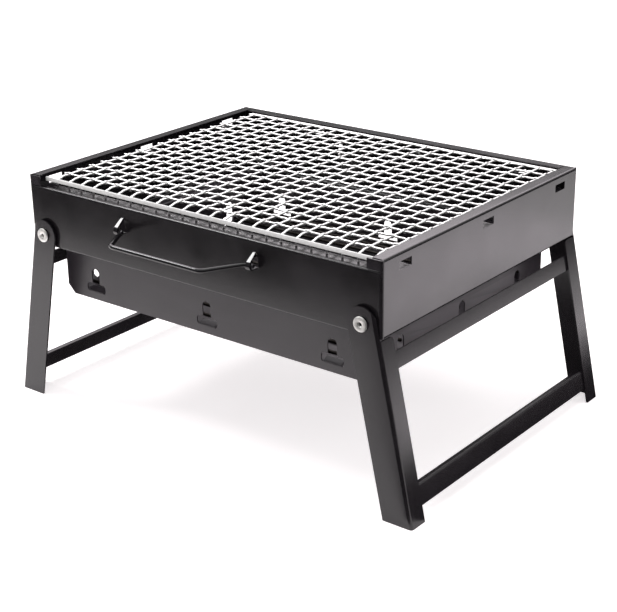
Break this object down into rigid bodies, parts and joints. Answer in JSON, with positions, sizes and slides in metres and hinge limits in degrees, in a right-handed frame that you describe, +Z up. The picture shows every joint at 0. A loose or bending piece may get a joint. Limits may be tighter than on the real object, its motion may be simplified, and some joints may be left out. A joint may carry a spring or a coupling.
{
  "type": "folding charcoal camp grill",
  "caption": "Low portable charcoal grill: sheet-steel frame on folding splayed legs, drop-in charcoal box with keyhole vents, woven wire cooking grate and wire bail handles.",
  "frame": {"origin": "centre of the footprint on the floor, legs open", "axes": "+X along the long side of the frame, +Y from the lowered front wall to the back wall, +Z up"},
  "size_m": [0.4074, 0.3444, 0.196],
  "materials": {
    "frame_enamel": "glossy black heat-resistant enamel on sheet steel",
    "leg_enamel": "glossy black enamel",
    "box_enamel": "satin dark grey enamel",
    "rivet_steel": "bright rolled steel",
    "washer_steel": "plain steel",
    "grid_steel": "plain steel wire",
    "grate_chrome": "bright chrome-plated wire",
    "handle_enamel": "glossy black enamel on wire"
  },
  "bodies": {
    "frame": {"frame_front_wall": "frame_enamel", "frame_back_wall": "frame_enamel", "frame_left_wall": "frame_enamel", "frame_right_wall": "frame_enamel", "leg_pivot_rivets": "rivet_steel", "leg_washers": "washer_steel", "front_handle_lugs": "handle_enamel", "back_handle_lugs": "handle_enamel"},
    "left_legs": {"left_front_leg": "leg_enamel", "left_back_leg": "leg_enamel", "left_upper_crossbar": "leg_enamel", "left_lower_crossbar": "leg_enamel"},
    "right_legs": {"right_front_leg": "leg_enamel", "right_back_leg": "leg_enamel", "right_upper_crossbar": "leg_enamel", "right_lower_crossbar": "leg_enamel"},
    "charcoal_box": {"box_front_panel": "box_enamel", "box_back_panel": "box_enamel", "box_left_panel": "box_enamel", "box_right_panel": "box_enamel", "box_bottom": "box_enamel", "box_grid_rests": "box_enamel"},
    "charcoal_grid": {"charcoal_grid_rods": "grid_steel", "charcoal_grid_bearers": "grid_steel"},
    "cooking_grate": {"grate_long_wires": "grate_chrome", "grate_cross_wires": "grate_chrome", "grate_front_strip": "grate_chrome", "grate_back_rod": "grate_chrome"},
    "front_handle": {"front_handle": "handle_enamel"},
    "back_handle": {"back_handle": "handle_enamel"}
  },
  "joints": [
    {"name": "left_leg_fold", "type": "hinge", "parent": "frame", "child": "left_legs", "pos_m": [-0.1595, 0, 0.1478], "axis": [0, -1, 0], "range_deg": [0, 102]},
    {"name": "right_leg_fold", "type": "hinge", "parent": "frame", "child": "right_legs", "pos_m": [0.1595, 0, 0.1478], "axis": [0, 1, 0], "range_deg": [0, 102]},
    {"name": "box_lift", "type": "slide", "parent": "frame", "child": "charcoal_box", "axis": [0, 0, 1], "range_m": [0, 0.051]},
    {"name": "charcoal_grid_lift", "type": "slide", "parent": "charcoal_box", "child": "charcoal_grid", "axis": [0, 0, 1], "range_m": [0, 0.03]},
    {"name": "grate_lift", "type": "slide", "parent": "frame", "child": "cooking_grate", "axis": [0, 0, 1], "range_m": [0, 0.06]},
    {"name": "front_handle_swing", "type": "hinge", "parent": "frame", "child": "front_handle", "pos_m": [-0.004, -0.1404, 0.17], "axis": [1, 0, 0], "range_deg": [-90, 90]},
    {"name": "back_handle_swing", "type": "hinge", "parent": "frame", "child": "back_handle", "pos_m": [0.004, 0.1404, 0.17], "axis": [-1, 0, 0], "range_deg": [-90, 90]}
  ],
  "couplings": [
    {"joint": "right_leg_fold", "follows": "left_leg_fold", "ratio": 1},
    {"joint": "box_lift", "follows": "left_leg_fold", "m_per_rad": 0.02859}
  ]
}
